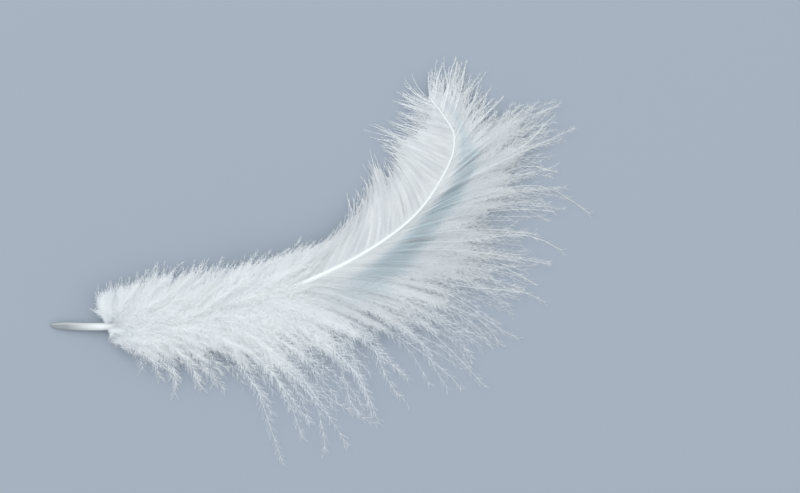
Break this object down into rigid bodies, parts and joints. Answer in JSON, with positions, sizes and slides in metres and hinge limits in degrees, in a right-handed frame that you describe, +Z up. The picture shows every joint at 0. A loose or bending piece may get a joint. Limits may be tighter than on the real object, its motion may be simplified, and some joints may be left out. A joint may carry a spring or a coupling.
{
  "type": "feather",
  "caption": "White downy body feather with a bare quill, a curved shaft, fluffy down at the base and loose frayed locks of barbs along both sides, lying flat.",
  "frame": {"origin": "on the surface that the feather lies on, under the middle of its outline", "axes": "+X from the quill towards the curled end, along the longest extent; +Y towards the side that the tip curls to; +Z up, away from the surface"},
  "size_m": [0.1083, 0.081, 0.0084],
  "materials": {
    "feather": "soft white keratin, matte in the down and satin on the quill"
  },
  "bodies": {
    "root": {"feather": "feather"}
  },
  "joints": []
}
